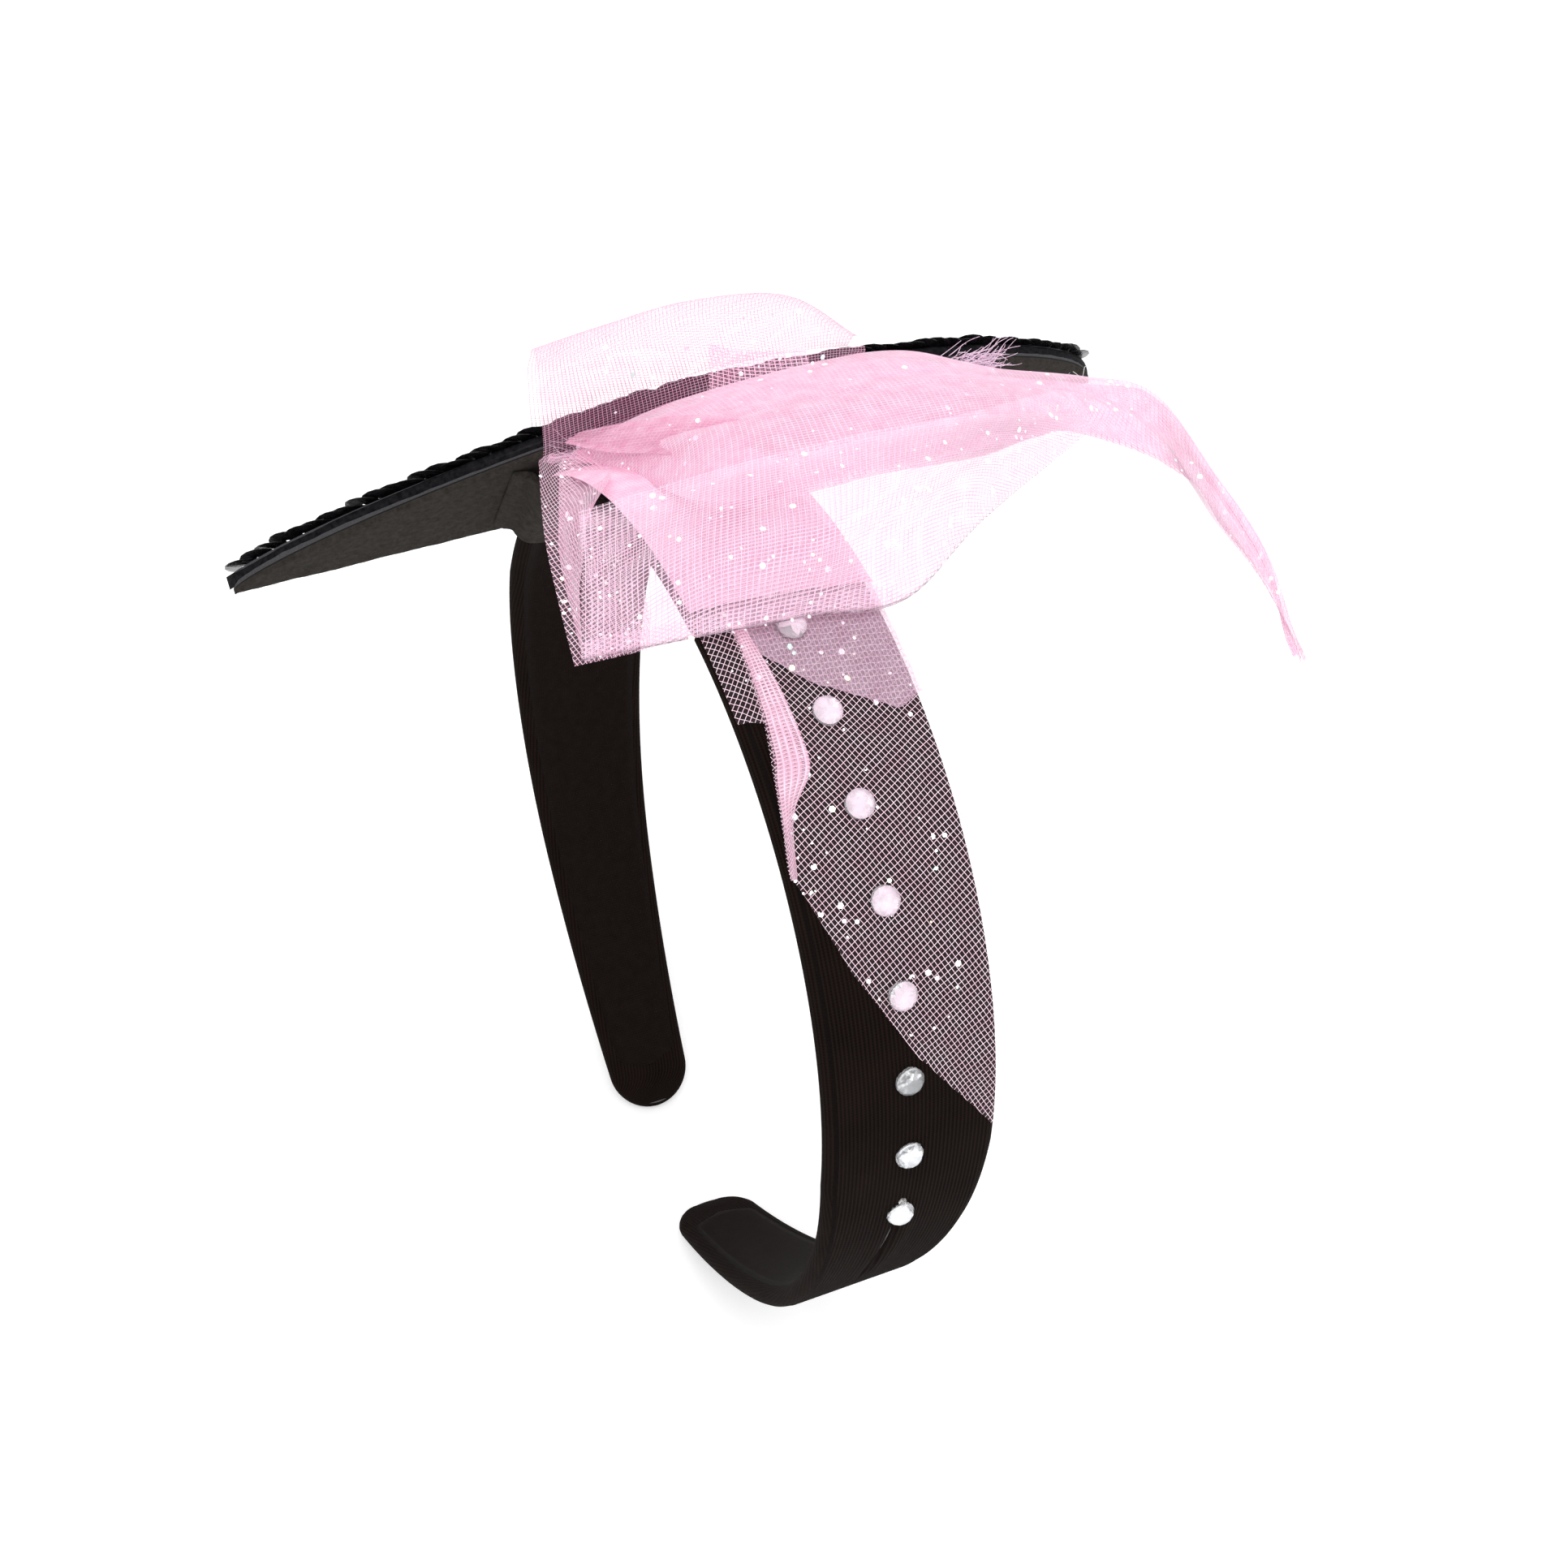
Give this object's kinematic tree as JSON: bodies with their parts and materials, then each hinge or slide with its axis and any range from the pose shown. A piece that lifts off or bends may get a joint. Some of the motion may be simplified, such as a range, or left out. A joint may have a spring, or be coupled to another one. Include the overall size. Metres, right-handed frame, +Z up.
{
  "type": "animal ears headband",
  "caption": "C-shaped fabric-covered hair band with a half-moon sequinned ear panel on one side, gathered glitter tulle over the crown and a row of glued clear stones down one arm.",
  "frame": {"origin": "the middle of the crown's inner face, where the band rests on the head", "axes": "+Z up, away from the head, along the band's axis of symmetry; +X towards the arm with the stones; Y across the band's width"},
  "size_m": [0.1324, 0.153, 0.1602],
  "materials": {
    "core_plastic": "moulded",
    "black_knit": "fine ribbed knit",
    "lining_ribbon": "woven ribbon",
    "black_felt": "felt",
    "foam_board": "closed foam",
    "sequin_cloth": "fine net",
    "black_sequins": "glossy film",
    "glue": "clear glue",
    "clear_stone": "faceted",
    "pink_tulle": "glitter net",
    "pink_thread": "sewing thread"
  },
  "bodies": {
    "root": {"band_core": "core_plastic", "band_cover": "black_knit", "band_lining": "lining_ribbon", "panel_felt": "black_felt", "panel_board": "foam_board", "sequin_cloth": "sequin_cloth", "sequins": "black_sequins", "felt_bridge": "black_felt", "panel_glue": "glue", "rhinestone_1": "clear_stone", "rhinestone_2": "clear_stone", "rhinestone_3": "clear_stone", "rhinestone_4": "clear_stone", "rhinestone_5": "clear_stone", "rhinestone_6": "clear_stone", "rhinestone_7": "clear_stone", "rhinestone_8": "clear_stone", "stone_glue": "glue", "arm_veil": "pink_tulle", "arm_veil_upper": "pink_tulle", "bow_front": "pink_tulle", "bow_top": "pink_tulle", "left_flap": "pink_tulle", "crest": "pink_tulle", "gather_stitch_left": "pink_thread", "gather_stitch_right": "pink_thread"}
  },
  "joints": []
}
